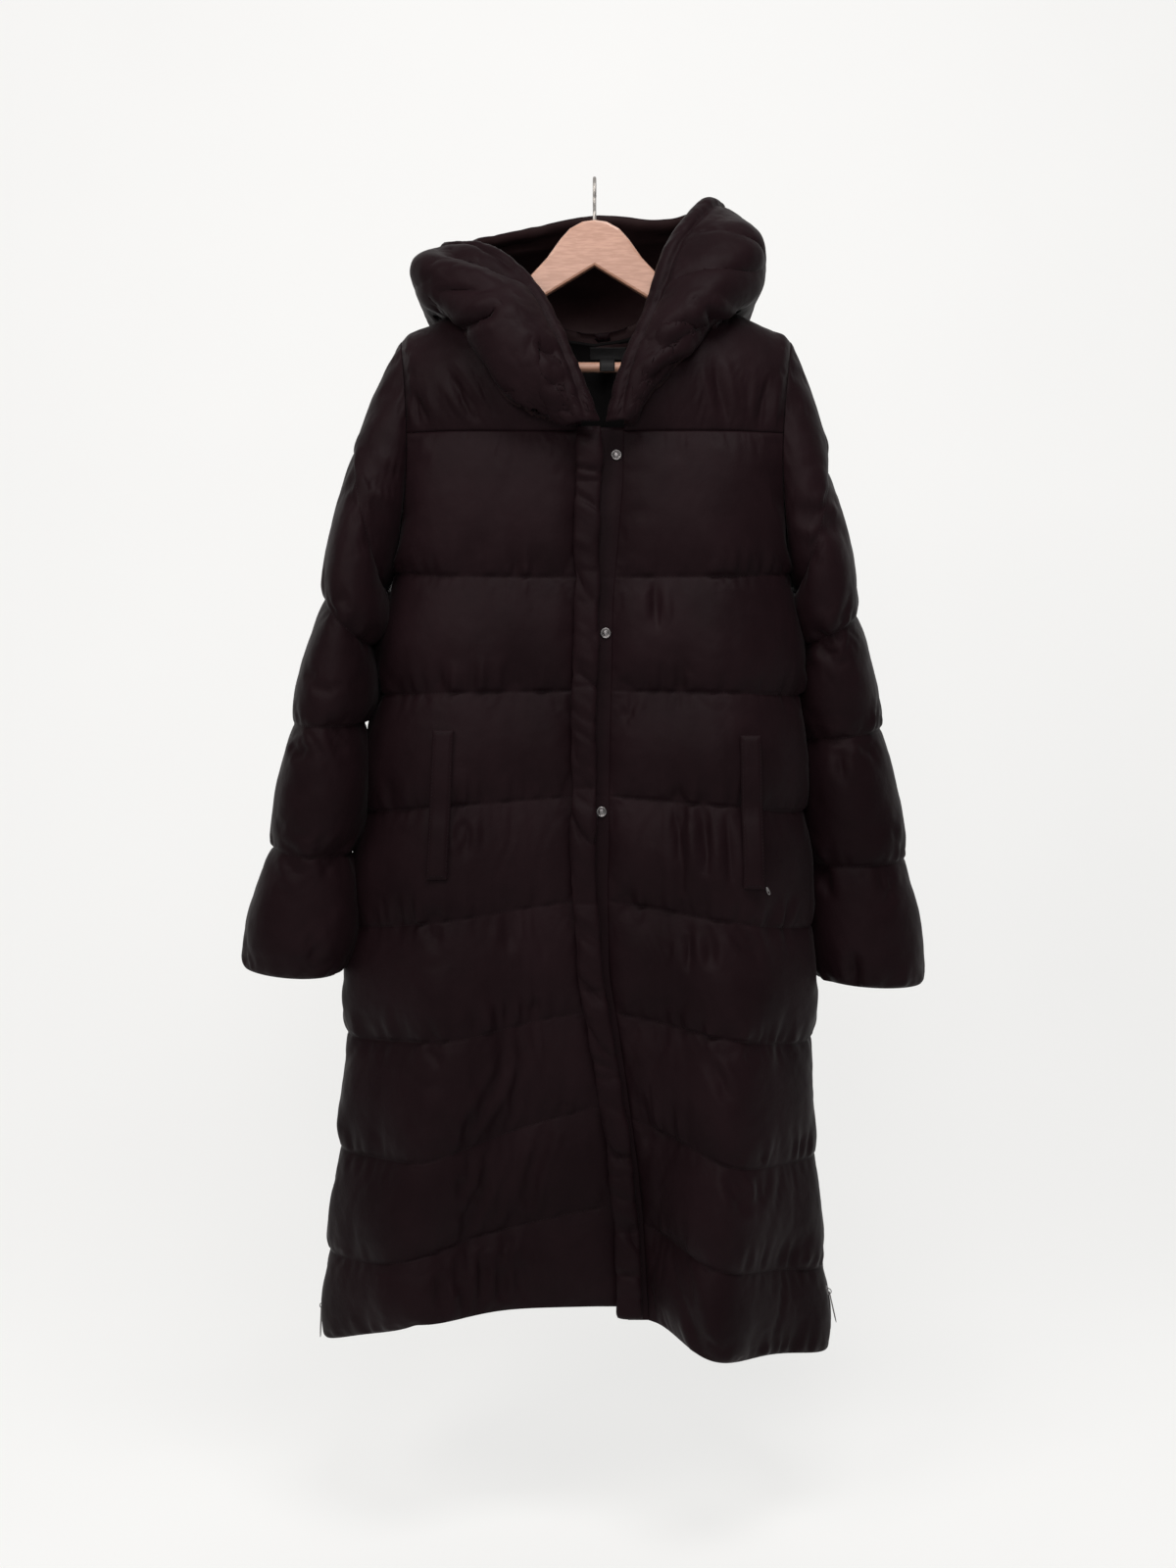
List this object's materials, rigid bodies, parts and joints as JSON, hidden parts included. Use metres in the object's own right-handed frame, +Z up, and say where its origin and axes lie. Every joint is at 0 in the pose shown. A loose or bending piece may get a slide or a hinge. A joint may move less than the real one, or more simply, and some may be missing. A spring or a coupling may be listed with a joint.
{
  "type": "long puffer coat on a wooden hanger",
  "caption": "Long quilted puffer coat with a deep hood, padded placket, welt pockets and side vents, hanging open at the neck on a wooden hanger.",
  "frame": {"origin": "inside the crown of the hanger's hook, where a rail or a peg carries it", "axes": "+Z up; -Y is the coat's front; +X is the wearer's left; the hanger's arms lie along X"},
  "size_m": [0.7336, 0.3582, 1.2468],
  "materials": {
    "shell": "matt brown-black down-proof nylon with a soft sheen",
    "lining": "smooth black lining",
    "zip_tape": "woven black zip tape",
    "label": "blank woven satin label",
    "wood": "pale lacquered beech",
    "hook_steel": "plated steel wire",
    "plated": "plated metal trim"
  },
  "bodies": {
    "hook": {"hanger_hook": "hook_steel"},
    "coat": {"front_right_panel": "shell", "front_left_panel": "shell", "back_panel": "shell", "yoke_front_right": "shell", "yoke_front_left": "shell", "yoke_back": "shell", "sleeve_right": "shell", "sleeve_left": "shell", "placket": "shell", "underlap": "shell", "welt_right": "shell", "welt_left": "shell", "hood_right_side": "shell", "hood_crown": "shell", "hood_left_side": "shell", "neck_lining": "lining", "zip_tape_left": "zip_tape", "zip_tape_right": "zip_tape", "neck_label": "label", "size_tab": "label", "hanger_wood": "wood", "hanger_bar": "wood", "zip_slider_left": "plated", "zip_slider_right": "plated", "pocket_pull": "plated", "snap_stud_1": "plated", "snap_stud_2": "plated", "snap_stud_3": "plated", "snap_stud_4": "plated", "snap_stud_5": "plated", "snap_socket_1": "plated", "snap_socket_2": "plated", "snap_socket_3": "plated", "snap_socket_4": "plated", "snap_socket_5": "plated"},
    "pull_right": {"zip_pull_right": "plated"},
    "pull_left": {"zip_pull_left": "plated"}
  },
  "joints": [
    {"name": "hook_swivel", "type": "hinge", "parent": "hook", "child": "coat", "pos_m": [0, 0, -0.05], "axis": [0, 0, 1], "continuous": true},
    {"name": "pull_right_swing", "type": "hinge", "parent": "coat", "child": "pull_right", "pos_m": [-0.29272, 0, -1.208], "axis": [0, 1, 0], "range_deg": [0, 150]},
    {"name": "pull_left_swing", "type": "hinge", "parent": "coat", "child": "pull_left", "pos_m": [0.25205, 0, -1.193], "axis": [0, -1, 0], "range_deg": [0, 150]}
  ]
}
